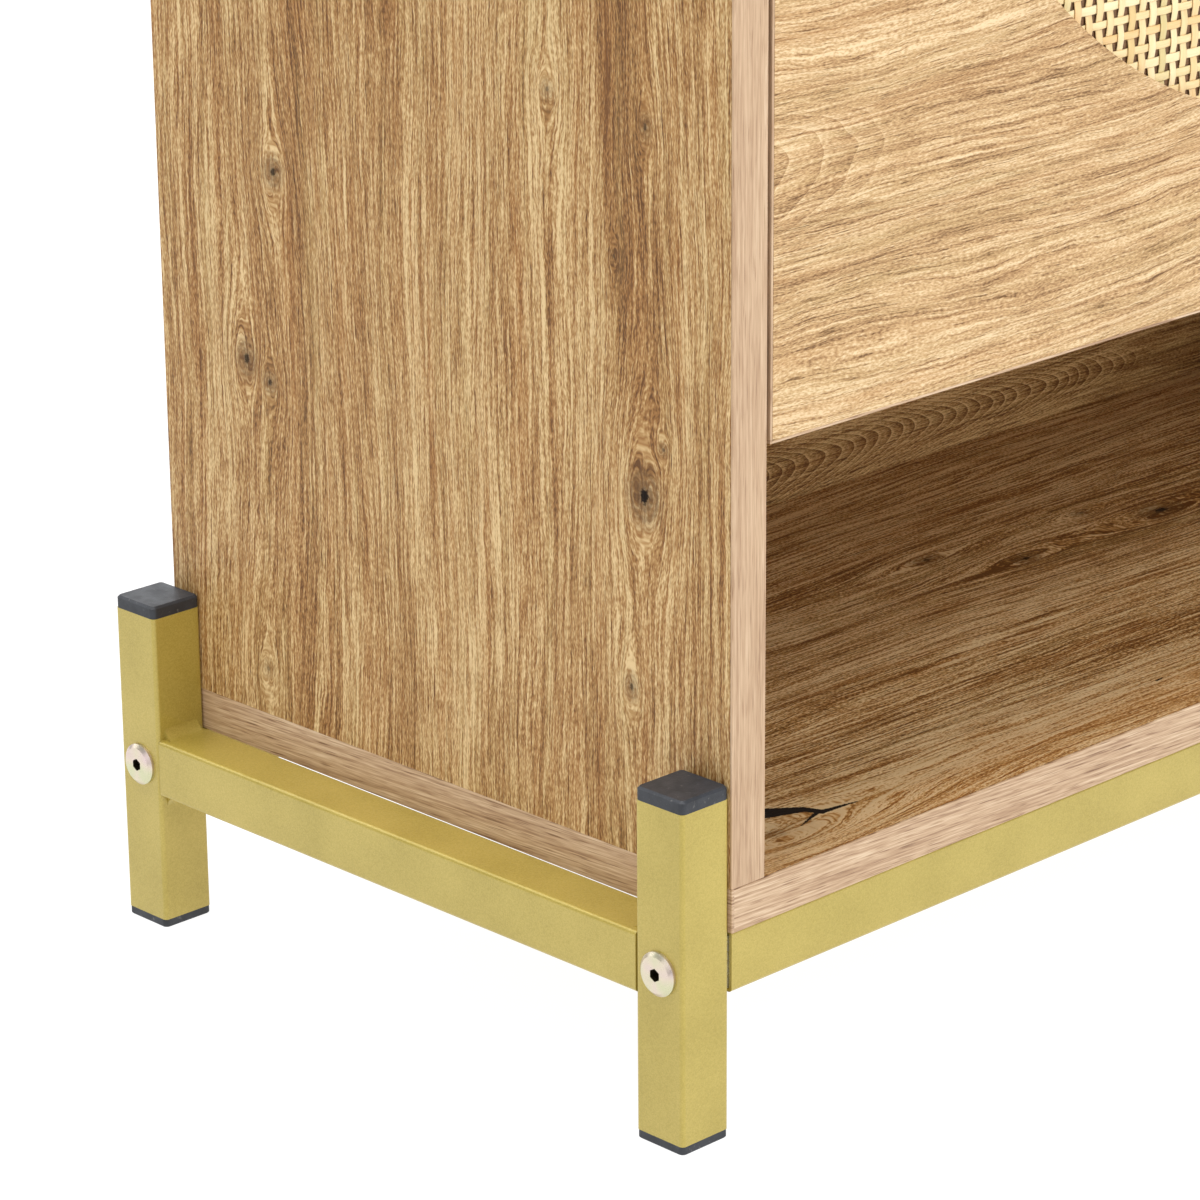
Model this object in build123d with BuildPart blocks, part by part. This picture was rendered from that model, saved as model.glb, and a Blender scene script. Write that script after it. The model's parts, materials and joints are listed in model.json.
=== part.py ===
from build123d import *
import os
from math import cos, radians, sin, sqrt

# Tip-out shoe cabinet on a square-tube base.
# X runs along the width, Y from the fronts to the back, Z up. The origin is on the floor, in the
# middle of the width and midway between the knobs' tips and the rear legs' rear faces.

os.makedirs("parts", exist_ok=True)

# ---------- driving dimensions, mm ----------
board = 15.0  # melamine-faced board
band = 1.0  # edge band on the boards' show edges
back_sheet = 3.0  # printed hardboard
body_width = 600.0
body_depth = 275.0

tube = 21.0  # square steel tube of the base
tube_wall = 1.2
tube_corner = 1.5
frame_depth = 281.0  # over the legs, front to back
foot_flange = 3.0  # of the plug under each leg
cap_flange = 4.5  # of the plug on top
leg_length = 114.0  # without the plugs
rail_bottom = 50.0
board_overhang = 1.0  # boards and fronts stand this far in front of the legs
frame_clear = 0.2  # bottom board to side frame
rail_clear = 1.2  # cross rail to leg, bridged by the threaded insert
side_rail_lift = 0.6  # side rails above the cross rails, which closes the view under the board's end

door_height = 350.0
door_side_gap = 1.6
door_gap = 4.0  # between the two fronts
door_top_gap = 3.5
open_height = 143.5  # clear height of the open compartment, up to the lower front
window_radius = 230.0
window_low_margin = 61.0
window_corner = 6.0
window_lip = 3.0
rebate = 6.0  # width of the ledge that the cane lies on
cane_thick = 1.2

pivot_back = 20.0  # hinge axis behind a front's face
pivot_up = 72.0  # hinge axis above a front's lower edge
open_angle = 45.0
pin_radius = 4.0
pin_clear = 0.06
knob_reach = 20.0

fit = 0.05  # radial clearance of a fixed pin, screw or dowel in its hole

# ---------- places worked out from them ----------
overall_depth = frame_depth + board_overhang + knob_reach
leg_front = -overall_depth / 2 + knob_reach + board_overhang
leg_rear = leg_front + frame_depth
front = leg_front - board_overhang
rear = front + body_depth
half_body = body_width / 2
inner = half_body - board
leg_inner = half_body + frame_clear
leg_outer = leg_inner + tube
leg_mid = leg_inner + tube / 2
rail_top = rail_bottom + tube
rail_mid = rail_bottom + tube / 2
floor_top = rail_top + board
door_half = inner - door_side_gap
lower_base = floor_top + open_height
upper_base = lower_base + door_height + door_gap
ceiling = upper_base + door_height + door_top_gap
window_rise = window_low_margin + window_radius

groove_depth = 5.0
back_inset = 10.0  # back sheet's rear face to the boards' rear edges
back_face = rear - back_inset - back_sheet
panel_end_clear = 0.5  # back sheet to the bottom of its groove
shelf_low = lower_base - 23.5
shelf_high = shelf_low + board
shelf_front = front + 58.0
joiner_flange = 1.0
joiner_reach = 9.5
shelf_rear = back_face - joiner_flange
shelf_mid = shelf_low + board / 2

# each drawer: name, lower edge, which way its window's flat side faces
drawers = (("lower", lower_base, 1), ("upper", upper_base, -1))
sides = (("left", -1), ("right", 1))


def block(a, b, mode=Mode.ADD):
    """A square-cornered block between two opposite corners."""
    low = tuple(min(p, q) for p, q in zip(a, b))
    size = tuple(abs(p - q) for p, q in zip(a, b))
    with Locations(low):
        Box(*size, align=(Align.MIN, Align.MIN, Align.MIN), mode=mode)


def rod(start, end, radius, mode=Mode.ADD):
    """A round rod, or a round hole, from start to end."""
    run = Vector(*end) - Vector(*start)
    with Locations(Plane(origin=start, z_dir=run)):
        Cylinder(radius, run.length, align=(Align.CENTER, Align.CENTER, Align.MIN), mode=mode)


def bore(start, end, radius):
    rod(start, end, radius + fit, mode=Mode.SUBTRACT)


def upright(y):
    """The plane of a front: its sketch has X across and Z up, and it faces -Y."""
    return Plane(origin=(0, y, 0), x_dir=(1, 0, 0), z_dir=(0, -1, 0))


def cut_cross(face, into, cross):
    """The cross recess of a screw or a cam, from the middle of its outer face."""
    length, width, depth = cross
    with Locations(Plane(origin=face, z_dir=into)):
        for across, along in ((length, width), (width, length)):
            Box(across, along, 2 * depth, mode=Mode.SUBTRACT)


def write_part(piece, name):
    piece.part.label = name
    export_step(piece.part, f"parts/{name}.step")


# ---------- knock-down fittings of the carcass ----------
cam_inset = 34.0  # cam's centre to the joint
cam_radius = 7.4
cam_depth = 12.0
cam_pocket_clear = 0.1
cam_floor_clear = 0.5
cam_cross = (9.0, 1.4, 1.5)  # length, width, depth
cam_mouth_radius = 3.6  # of the bolt's way through the cam and the board
bolt_head_radius = 3.0
bolt_head_length = 3.0
bolt_neck_radius = 1.9
bolt_neck_length = 7.0
bolt_collar_radius = 3.4
bolt_thread_radius = 2.9
bolt_thread = 11.0
bolt_end_clear = 0.4
screw_cross = (4.4, 0.9, 1.0)  # length, width, depth
screw_end_clear = 0.4
dowel_radius = 4.0
dowel_in_face = 9.5
dowel_in_edge = 20.0
dowel_end_clear = 0.5
mid = half_body - board / 2
end_cam_ys = (front + 45, front + 220)
end_dowel_ys = (front + 27, front + 150)
shelf_cam_ys = (front + 90, front + 220)
shelf_dowel_ys = (front + 120, front + 190)
panel_ends = ((floor_top, 1), (ceiling, -1))  # joint height, direction into the side panel

# each fitting: middle of the cam's outer face, direction into the board, direction to the joint
cam_places = []
for side, s in sides:
    for joint_z, up in panel_ends:
        for y in end_cam_ys:
            cam_places.append(((s * inner, y, joint_z + up * cam_inset), (s, 0, 0), (0, 0, -up)))
    for y in shelf_cam_ys:
        cam_places.append(((s * (inner - cam_inset), y, shelf_low), (0, 0, 1), (s, 0, 0)))

# each dowel: its point on the joint, direction into the board whose edge it enters
dowel_places = []
for side, s in sides:
    for joint_z, up in panel_ends:
        for y in end_dowel_ys:
            dowel_places.append(((s * mid, y, joint_z), (0, 0, up)))
    for y in shelf_dowel_ys:
        dowel_places.append(((s * inner, y, shelf_mid), (-s, 0, 0)))


def cut_cam(face, into, toward):
    """The pocket and the bolt's bore, in the board that holds the cam."""
    face, into, toward = Vector(*face), Vector(*into), Vector(*toward)
    floor = face + into * (cam_depth + cam_floor_clear)
    rod(tuple(face), tuple(floor), cam_radius + cam_pocket_clear, Mode.SUBTRACT)
    axis = face + into * (board / 2)
    rod(tuple(axis), tuple(axis + toward * cam_inset), cam_mouth_radius, Mode.SUBTRACT)


def cut_bolt(face, into, toward):
    """The threaded end's hole, in the board that the bolt is screwed into."""
    joint = Vector(*face) + Vector(*into) * (board / 2) + Vector(*toward) * cam_inset
    bore(tuple(joint), tuple(joint + Vector(*toward) * (bolt_thread + bolt_end_clear)), bolt_thread_radius)


def cut_dowel(place, direction):
    place, direction = Vector(*place), Vector(*direction)
    low = place - direction * (dowel_in_face + dowel_end_clear)
    high = place + direction * (dowel_in_edge + dowel_end_clear)
    bore(tuple(low), tuple(high), dowel_radius)


with BuildPart() as cams:
    for face, into, toward in cam_places:
        face_v, into_v, toward_v = Vector(*face), Vector(*into), Vector(*toward)
        rod(face, tuple(face_v + into_v * cam_depth), cam_radius)
        axis = face_v + into_v * (board / 2)
        mouth_end = axis - toward_v * bolt_head_length
        rod(tuple(mouth_end), tuple(axis + toward_v * cam_radius), cam_mouth_radius, Mode.SUBTRACT)
        cut_cross(face, into, cam_cross)
write_part(cams, "cam_locks")

with BuildPart() as cam_bolts:
    for face, into, toward in cam_places:
        axis, run = Vector(*face) + Vector(*into) * (board / 2), Vector(*toward)
        joint = axis + run * cam_inset
        neck = axis + run * (bolt_head_length - 1)
        collar = neck + run * bolt_neck_length
        rod(tuple(axis - run), tuple(neck), bolt_head_radius)
        rod(tuple(neck), tuple(collar), bolt_neck_radius)
        rod(tuple(collar), tuple(joint), bolt_collar_radius)
        rod(tuple(joint), tuple(joint + run * bolt_thread), bolt_thread_radius)
write_part(cam_bolts, "cam_bolts")

with BuildPart() as dowels:
    for place, direction in dowel_places:
        place_v, run = Vector(*place), Vector(*direction)
        rod(tuple(place_v - run * dowel_in_face), tuple(place_v + run * dowel_in_edge), dowel_radius)
    chamfer(dowels.edges().filter_by(GeomType.CIRCLE), 0.8)
write_part(dowels, "wood_dowels")

# ---------- carcass boards ----------
end_dowels = [d for d in dowel_places if d[1][0] == 0]
shelf_dowels = [d for d in dowel_places if d[1][0] != 0]
end_cams = [c for c in cam_places if c[1][2] == 0]
shelf_cams = [c for c in cam_places if c[1][2] != 0]
base_screw_xs = (-220, 0, 220)
rail_ys = (leg_front + tube / 2, leg_rear - tube / 2)
base_screw_reach = 11.0
base_screw_radius = 2.0
flat_head_radius = 4.0  # of the base screws, the flange screws and the knobs' screws
flat_head_thick = 2.2

for name, low, groove_low in (
    ("bottom_board", rail_top, floor_top - groove_depth),
    ("top_board", ceiling, ceiling),
):
    with BuildPart() as end_board:
        block((-half_body + band, front + band, low), (half_body - band, rear, low + board))
        block(
            (-inner - groove_depth, back_face, groove_low),
            (inner + groove_depth, back_face + back_sheet, groove_low + groove_depth),
            Mode.SUBTRACT,
        )
        for face, into, toward in end_cams:
            cut_bolt(face, into, toward)
        for place, direction in end_dowels:
            cut_dowel(place, direction)
        if name == "bottom_board":
            for x in base_screw_xs:
                for y in rail_ys:
                    bore((x, y, rail_top), (x, y, rail_top + base_screw_reach), base_screw_radius)
    write_part(end_board, name)

pin_length = 8.5  # of the pivot pin, inside the side panel
pin_end_clear = 1.0
bush_outer = 7.0
bush_depth = 11.0
bush_flange = 1.0
bush_flange_radius = 10.0
slot_radius = 110.0  # stop peg's distance from the hinge axis
slot_start = 50.0  # peg's direction from the hinge axis when the drawer is shut, degrees above +Y
peg_radius = 3.9
peg_head = 7.0
peg_screw_reach = 11.0
peg_screw_radius = 2.0
peg_screw_head = 3.6
peg_screw_head_thick = 2.0
peg_screw_sunk = 0.2


def pivot(base):
    return front + pivot_back, base + pivot_up


def peg(base):
    y, z = pivot(base)
    return y + slot_radius * cos(radians(slot_start)), z + slot_radius * sin(radians(slot_start))


for side, s in sides:
    with BuildPart() as side_panel:
        block((s * inner, front + band, floor_top), (s * half_body, rear, ceiling))
        block(
            (s * inner, back_face, floor_top),
            (s * (inner + groove_depth), back_face + back_sheet, ceiling),
            Mode.SUBTRACT,
        )
        for face, into, toward in end_cams:
            if face[0] * s > 0:
                cut_cam(face, into, toward)
        for face, into, toward in shelf_cams:
            if face[0] * s > 0:
                cut_bolt(face, into, toward)
        for place, direction in dowel_places:
            if place[0] * s > 0:
                cut_dowel(place, direction)
        for _, base, _ in drawers:
            y, z = pivot(base)
            bore((s * inner, y, z), (s * (inner + bush_depth), y, z), bush_outer)
            y, z = peg(base)
            bore((s * inner, y, z), (s * (inner + peg_screw_reach), y, z), peg_screw_radius)
    write_part(side_panel, f"side_panel_{side}")

with BuildPart() as divider:
    block((-inner, shelf_front + band, shelf_low), (inner, shelf_rear, shelf_high))
    for face, into, toward in shelf_cams:
        cut_cam(face, into, toward)
    for place, direction in shelf_dowels:
        cut_dowel(place, direction)
write_part(divider, "divider_shelf")

# ---------- back: two sheets in grooves, joined behind the divider shelf ----------
sheet_reach = inner + groove_depth - panel_end_clear
web_half = 1.5
for name, low, high in (
    ("back_sheet_lower", floor_top - groove_depth + panel_end_clear, shelf_mid - web_half),
    ("back_sheet_upper", shelf_mid + web_half, ceiling + groove_depth - panel_end_clear),
):
    with BuildPart() as back:
        block((-sheet_reach, back_face, low), (sheet_reach, back_face + back_sheet, high))
    write_part(back, name)

with BuildPart() as joiner:
    block((-inner, back_face, shelf_mid - web_half), (inner, back_face + back_sheet, shelf_mid + web_half))
    for y in (back_face - joiner_flange, back_face + back_sheet):
        block((-inner, y, shelf_mid - joiner_reach), (inner, y + joiner_flange, shelf_mid + joiner_reach))
write_part(joiner, "back_joiner")

# ---------- edge bands of the carcass ----------
band_clear = 0.05  # between two strips that meet at a corner
with BuildPart() as carcass_bands:
    for side, s in sides:
        block((s * inner, front, floor_top + band_clear), (s * half_body, front + band, ceiling - band_clear))
        for low in (rail_top, ceiling):
            block(
                (s * (half_body - band), front + band + band_clear, low),
                (s * half_body, rear, low + board),
            )
    for low in (rail_top, ceiling):
        block((-half_body, front, low), (half_body, front + band, low + board))
    block((-inner, shelf_front, shelf_low), (inner, shelf_front + band, shelf_high))
write_part(carcass_bands, "carcass_edge_bands")

# ---------- hinge bushes and stop pegs in the side panels ----------
plate_gap = 3.0  # drawer's side plate to side panel
plate_thick = 5.0
plate_out = inner - plate_gap
plate_in = plate_out - plate_thick
peg_head_thick = 4.0
peg_head_gap = 0.5

with BuildPart() as bushes:
    for side, s in sides:
        for _, base, _ in drawers:
            y, z = pivot(base)
            rod((s * (inner - bush_flange), y, z), (s * inner, y, z), bush_flange_radius)
            rod((s * inner, y, z), (s * (inner + bush_depth), y, z), bush_outer)
            rod(
                (s * (inner - bush_flange), y, z),
                (s * (inner + pin_length + pin_end_clear), y, z),
                pin_radius + pin_clear,
                Mode.SUBTRACT,
            )
write_part(bushes, "pivot_bushes")

peg_tip = plate_in - peg_head_gap - peg_head_thick
peg_seat = peg_tip + peg_screw_sunk + peg_screw_head_thick
with BuildPart() as pegs:
    for side, s in sides:
        for _, base, _ in drawers:
            y, z = peg(base)
            rod((s * inner, y, z), (s * (plate_in - peg_head_gap), y, z), peg_radius)
            rod((s * (plate_in - peg_head_gap), y, z), (s * peg_tip, y, z), peg_head)
            bore((s * inner, y, z), (s * peg_tip, y, z), peg_screw_radius)
            bore((s * peg_tip, y, z), (s * peg_seat, y, z), peg_screw_head)
write_part(pegs, "stop_pegs")

with BuildPart() as peg_screws:
    for side, s in sides:
        for _, base, _ in drawers:
            y, z = peg(base)
            head = (s * (peg_tip + peg_screw_sunk), y, z)
            tip = (s * (inner + peg_screw_reach - screw_end_clear), y, z)
            rod(head, (s * peg_seat, y, z), peg_screw_head)
            rod((s * peg_seat, y, z), tip, peg_screw_radius)
            cut_cross(head, (s, 0, 0), screw_cross)
write_part(peg_screws, "stop_peg_screws")

# ---------- steel base ----------
tube_hole = tube - 2 * tube_wall
tube_inner_corner = tube_corner - tube_wall
plug_fit = 0.1  # a plug's or insert's side to the tube's inner wall
frame_bolt_radius = 2.95
frame_bolt_head = 7.5
frame_bolt_head_thick = 2.0
frame_bolt_bevel = (1.1, 1.3)  # along and across the bolt
frame_bolt_reach = 12.0  # past the leg, into the insert
frame_bolt_hole = 3.3
hex_socket_radius = 2.0
hex_socket_depth = 3.4


def tube_section():
    RectangleRounded(tube, tube, tube_corner)
    RectangleRounded(tube_hole, tube_hole, tube_inner_corner, mode=Mode.SUBTRACT)


for side, s in sides:
    for end, y in zip(("front", "rear"), rail_ys):
        with BuildPart() as leg:
            with BuildSketch(Plane.XY.offset(foot_flange)):
                with Locations((s * leg_mid, y)):
                    tube_section()
            extrude(amount=leg_length)
            rod((s * leg_inner, y, rail_mid), (s * leg_outer, y, rail_mid), frame_bolt_hole, Mode.SUBTRACT)
        write_part(leg, f"leg_{end}_{side}")

    with BuildPart() as side_rail:
        with BuildSketch(upright(leg_rear - tube)):
            with Locations((s * leg_mid, rail_mid + side_rail_lift)):
                tube_section()
        extrude(amount=frame_depth - 2 * tube)
    write_part(side_rail, f"side_rail_{side}")

cross_half = leg_inner - rail_clear
for name, y in zip(("front_rail", "rear_rail"), rail_ys):
    with BuildPart() as cross_rail:
        with BuildSketch(Plane.YZ.offset(-cross_half)):
            with Locations((y, rail_mid)):
                tube_section()
        extrude(amount=2 * cross_half)
        for x in base_screw_xs:
            bore((x, y, rail_bottom), (x, y, rail_top), base_screw_radius)
    write_part(cross_rail, name)

weld_leg = 4.0
weld_half = 7.5
with BuildPart() as welds:
    for side, s in sides:
        for y, back in ((leg_front + tube, 1), (leg_rear - tube, -1)):
            for z, up in ((rail_top + side_rail_lift, 1), (rail_bottom + side_rail_lift, -1)):
                with BuildSketch(Plane.YZ.offset(s * leg_mid - weld_half)):
                    with BuildLine():
                        Line((y, z), (y + back * weld_leg, z))
                        ThreePointArc(
                            (y + back * weld_leg, z),
                            (y + back * weld_leg / 3, z + up * weld_leg / 3),
                            (y, z + up * weld_leg),
                        )
                        Line((y, z + up * weld_leg), (y, z))
                    make_face()
                extrude(amount=2 * weld_half)
write_part(welds, "frame_welds")

insert_side = tube_hole - 2 * plug_fit
insert_depth = 8.0
with BuildPart() as inserts:
    for side, s in sides:
        for y in rail_ys:
            insert_low = min(s * leg_inner, s * (cross_half - insert_depth))
            with BuildSketch(Plane.YZ.offset(insert_low)):
                with Locations((y, rail_mid)):
                    RectangleRounded(insert_side, insert_side, tube_inner_corner)
                    Circle(frame_bolt_radius + fit, mode=Mode.SUBTRACT)
            extrude(amount=rail_clear + insert_depth)
write_part(inserts, "rail_inserts")

bevel_along, bevel_across = frame_bolt_bevel
head_outer = leg_outer + frame_bolt_head_thick
with BuildPart() as frame_bolts:
    for side, s in sides:
        for y in rail_ys:
            seat = (s * leg_outer, y, rail_mid)
            with BuildSketch(Plane(origin=seat, x_dir=(s, 0, 0), z_dir=(0, 0, 1))):
                with BuildLine():
                    Polyline(
                        (0, 0),
                        (0, frame_bolt_head),
                        (frame_bolt_head_thick - bevel_along, frame_bolt_head),
                        (frame_bolt_head_thick, frame_bolt_head - bevel_across),
                        (frame_bolt_head_thick, 0),
                        (0, 0),
                    )
                make_face()
            revolve(axis=Axis((0, y, rail_mid), (1, 0, 0)))
            rod(seat, (s * (leg_inner - frame_bolt_reach), y, rail_mid), frame_bolt_radius)
            with BuildSketch(Plane(origin=(s * head_outer, y, rail_mid), z_dir=(s, 0, 0))):
                RegularPolygon(hex_socket_radius, 6, major_radius=False)
            extrude(amount=-hex_socket_depth, mode=Mode.SUBTRACT)
write_part(frame_bolts, "frame_bolts")

plug_depth = 12.0
plug_core = tube_hole - 2 * plug_fit
plug_hole = 14.0
plug_extra_corner = 0.5
leg_top = foot_flange + leg_length
for name, flange_low, plug_flange, core_low, shown, plug_chamfer in (
    ("leg_caps", leg_top, cap_flange, leg_top - plug_depth, Axis.Z, 0.8),
    ("leg_feet", 0, foot_flange, foot_flange, -Axis.Z, 0.4),
):
    with BuildPart() as plugs:
        for side, s in sides:
            for y in rail_ys:
                with BuildSketch(Plane.XY.offset(flange_low)):
                    with Locations((s * leg_mid, y)):
                        RectangleRounded(tube, tube, tube_corner + plug_extra_corner)
                extrude(amount=plug_flange)
        chamfer(plugs.faces().sort_by(shown)[-4:].edges(), plug_chamfer)
        for side, s in sides:
            for y in rail_ys:
                with BuildSketch(Plane.XY.offset(core_low)):
                    with Locations((s * leg_mid, y)):
                        RectangleRounded(plug_core, plug_core, tube_inner_corner)
                        Rectangle(plug_hole, plug_hole, mode=Mode.SUBTRACT)
                extrude(amount=plug_depth)
    write_part(plugs, name)

with BuildPart() as base_screws:
    for x in base_screw_xs:
        for y in rail_ys:
            head = (x, y, rail_bottom - flat_head_thick)
            rod(head, (x, y, rail_bottom), flat_head_radius)
            rod((x, y, rail_bottom), (x, y, rail_top + base_screw_reach - screw_end_clear), base_screw_radius)
            cut_cross(head, (0, 0, 1), screw_cross)
write_part(base_screws, "base_screws")

# ---------- tip-out drawers ----------
flange_width = 14.0
flange_thick = 3.0
tray_thick = 9.0
tray_front = board + flange_thick
bottom_tray_depth = 200.0
bottom_tray_up = 22.0
bottom_lip_top = 80.0
middle_tray_depth = 170.0
middle_tray_up = 180.0
middle_lip_top = 240.0
flange_screw_ups = (50.0, 120.0, 290.0)
flange_screw_x = plate_in - flange_width / 2
tray_screws_at = (  # behind the front's face, above its lower edge
    (60.0, bottom_tray_up + tray_thick / 2),
    (160.0, bottom_tray_up + tray_thick / 2),
    (bottom_tray_depth + tray_thick / 2, 60.0),
    (60.0, middle_tray_up + tray_thick / 2),
    (150.0, middle_tray_up + tray_thick / 2),
    (middle_tray_depth + tray_thick / 2, 222.0),
)
tray_screw_radius = 1.75
tray_screw_head = 3.5
tray_screw_head_thick = 2.0
tray_screw_reach = 20.0
flange_low_up = 20.0
flange_high_up = 330.0
flange_screw_radius = 1.75
flange_screw_tip = 4.0  # its hole's end, behind the front's face
plate_corner = 12.0
plate_outline = (  # behind the front's face, above its lower edge
    (board, 14.0),
    (214.0, 14.0),
    (214.0, 80.0),
    (184.0, 250.0),
    (40.0, 335.0),
    (board, 335.0),
)
slot_half = peg_radius + 0.4
pin_shoulder_radius = 4.9
pin_shoulder_length = 1.5
filling_clear = 0.2  # cane, backing and bead to the rebate's wall
bead_overlap = 2.0  # how far the bead stands inside the window's outline, seen from behind
knob_up = 320.5
knob_foot = 7.0
knob_waist = 5.0
knob_rim = 13.0
knob_face = 8.0
knob_thread = 1.6
knob_hole = 2.2
knob_screw_reach = 10.0


def half_round(y, base, flat_up, grow):
    """The window's outline at a depth y: a half disc, grown by a margin all round."""
    centre = base + (window_rise if flat_up > 0 else door_height - window_rise)
    radius = window_radius + grow
    flat = centre + flat_up * grow
    reach = sqrt(radius**2 - grow**2)
    with BuildSketch(upright(y)) as outline:
        with BuildLine():
            ThreePointArc((-reach, flat), (0, centre - flat_up * radius), (reach, flat))
            Line((reach, flat), (-reach, flat))
        make_face()
        fillet(outline.vertices(), window_corner + max(grow, 0))
    return outline.sketch


def peg_slot(plane, hinge_y, hinge_z):
    """The arc slot that the stop peg runs in, round the hinge axis."""

    def at(radius, degrees, along=0.0):
        turn = radians(degrees)
        return (
            hinge_y + radius * cos(turn) - along * sin(turn),
            hinge_z + radius * sin(turn) + along * cos(turn),
        )

    shut, opened = slot_start, slot_start - open_angle
    far, near = slot_radius + slot_half, slot_radius - slot_half
    with BuildSketch(plane) as slot:
        with BuildLine():
            ThreePointArc(at(far, opened), at(far, (shut + opened) / 2), at(far, shut))
            ThreePointArc(at(far, shut), at(slot_radius, shut, slot_half), at(near, shut))
            ThreePointArc(at(near, shut), at(near, (shut + opened) / 2), at(near, opened))
            ThreePointArc(at(near, opened), at(slot_radius, opened, -slot_half), at(far, opened))
        make_face()
    return slot.sketch


for name, base, flat_up in drawers:
    top = base + door_height
    y0 = front
    hinge_y, hinge_z = pivot(base)

    with BuildPart() as door:
        block((-door_half + band, y0, base + band), (door_half - band, y0 + board, top - band))
        for depth, thick, grow in ((0, board, 0), (window_lip, board - window_lip, rebate)):
            extrude(half_round(y0 + depth, base, flat_up, grow), amount=-thick, mode=Mode.SUBTRACT)
        rod((0, y0, base + knob_up), (0, y0 + board, base + knob_up), knob_hole, Mode.SUBTRACT)
        for side, s in sides:
            for up in flange_screw_ups:
                x, z = s * flange_screw_x, base + up
                bore((x, y0 + board, z), (x, y0 + flange_screw_tip, z), flange_screw_radius)
    write_part(door, f"front_{name}")

    with BuildPart() as door_bands:
        for z in (base, top - band):
            block((-door_half, y0, z), (door_half, y0 + board, z + band))
        for side, s in sides:
            block(
                (s * (door_half - band), y0, base + band + band_clear),
                (s * door_half, y0 + board, top - band - band_clear),
            )
    write_part(door_bands, f"front_edge_bands_{name}")

    for piece, depth, thick in (
        ("cane_webbing", window_lip, cane_thick),
        ("cane_backing", window_lip + cane_thick, back_sheet),
    ):
        with BuildPart() as filling:
            extrude(half_round(y0 + depth, base, flat_up, rebate - filling_clear), amount=-thick)
        write_part(filling, f"{piece}_{name}")

    with BuildPart() as bead:
        depth = window_lip + cane_thick + back_sheet
        for grow, mode in ((rebate - filling_clear, Mode.ADD), (-bead_overlap, Mode.SUBTRACT)):
            extrude(half_round(y0 + depth, base, flat_up, grow), amount=depth - board, mode=mode)
    write_part(bead, f"window_bead_{name}")

    for side, s in sides:
        plate_plane = Plane.YZ.offset(min(s * plate_in, s * plate_out))
        with BuildPart() as plate:
            with BuildSketch(plate_plane):
                with BuildLine():
                    corners = [(y0 + back_by, base + up) for back_by, up in plate_outline]
                    outline = FilletPolyline(*corners, radius=plate_corner)
                    Line(outline @ 1, outline @ 0)
                make_face()
            extrude(amount=plate_thick)
            extrude(peg_slot(plate_plane, hinge_y, hinge_z), amount=plate_thick, mode=Mode.SUBTRACT)
            block(
                (s * (plate_in - flange_width), y0 + board, base + flange_low_up),
                (s * plate_in, y0 + board + flange_thick, base + flange_high_up),
            )
            pin_root = (s * plate_out, hinge_y, hinge_z)
            rod(pin_root, (s * (plate_out + pin_shoulder_length), hinge_y, hinge_z), pin_shoulder_radius)
            rod(pin_root, (s * (inner + pin_length), hinge_y, hinge_z), pin_radius)
            for up in flange_screw_ups:
                x, z = s * flange_screw_x, base + up
                bore((x, y0 + board, z), (x, y0 + board + flange_thick, z), flange_screw_radius)
            for back_by, up in tray_screws_at:
                y, z = y0 + back_by, base + up
                bore((s * plate_in, y, z), (s * plate_out, y, z), tray_screw_radius)
                bore((s * (plate_out - tray_screw_head_thick), y, z), (s * plate_out, y, z), tray_screw_head)
        write_part(plate, f"drawer_side_{side}_{name}")

    for piece, low_up, high_up, near, far in (
        ("tray_bottom", bottom_tray_up, bottom_tray_up + tray_thick, tray_front, bottom_tray_depth),
        ("lip_bottom", bottom_tray_up, bottom_lip_top, bottom_tray_depth, bottom_tray_depth + tray_thick),
        ("tray_middle", middle_tray_up, middle_tray_up + tray_thick, tray_front, middle_tray_depth),
        ("lip_middle", middle_tray_up, middle_lip_top, middle_tray_depth, middle_tray_depth + tray_thick),
    ):
        with BuildPart() as inner_board:
            block((-plate_in, y0 + near, base + low_up), (plate_in, y0 + far, base + high_up))
            for side, s in sides:
                for back_by, up in tray_screws_at:
                    if near < back_by < far and low_up < up < high_up:
                        y, z = y0 + back_by, base + up
                        tip_x = plate_in - tray_screw_reach
                        bore((s * plate_in, y, z), (s * tip_x, y, z), tray_screw_radius)
        write_part(inner_board, f"{piece}_{name}")

    with BuildPart() as drawer_screws:
        for side, s in sides:
            for up in flange_screw_ups:
                x, z = s * flange_screw_x, base + up
                y = y0 + board + flange_thick
                rod((x, y + flat_head_thick, z), (x, y, z), flat_head_radius)
                rod((x, y, z), (x, y0 + flange_screw_tip + screw_end_clear, z), flange_screw_radius)
                cut_cross((x, y + flat_head_thick, z), (0, -1, 0), screw_cross)
            for back_by, up in tray_screws_at:
                y, z = y0 + back_by, base + up
                neck = plate_out - tray_screw_head_thick
                tip_x = plate_in - tray_screw_reach + screw_end_clear
                rod((s * plate_out, y, z), (s * neck, y, z), tray_screw_head)
                rod((s * neck, y, z), (s * tip_x, y, z), tray_screw_radius)
                cut_cross((s * plate_out, y, z), (-s, 0, 0), screw_cross)
    write_part(drawer_screws, f"drawer_screws_{name}")

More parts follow.
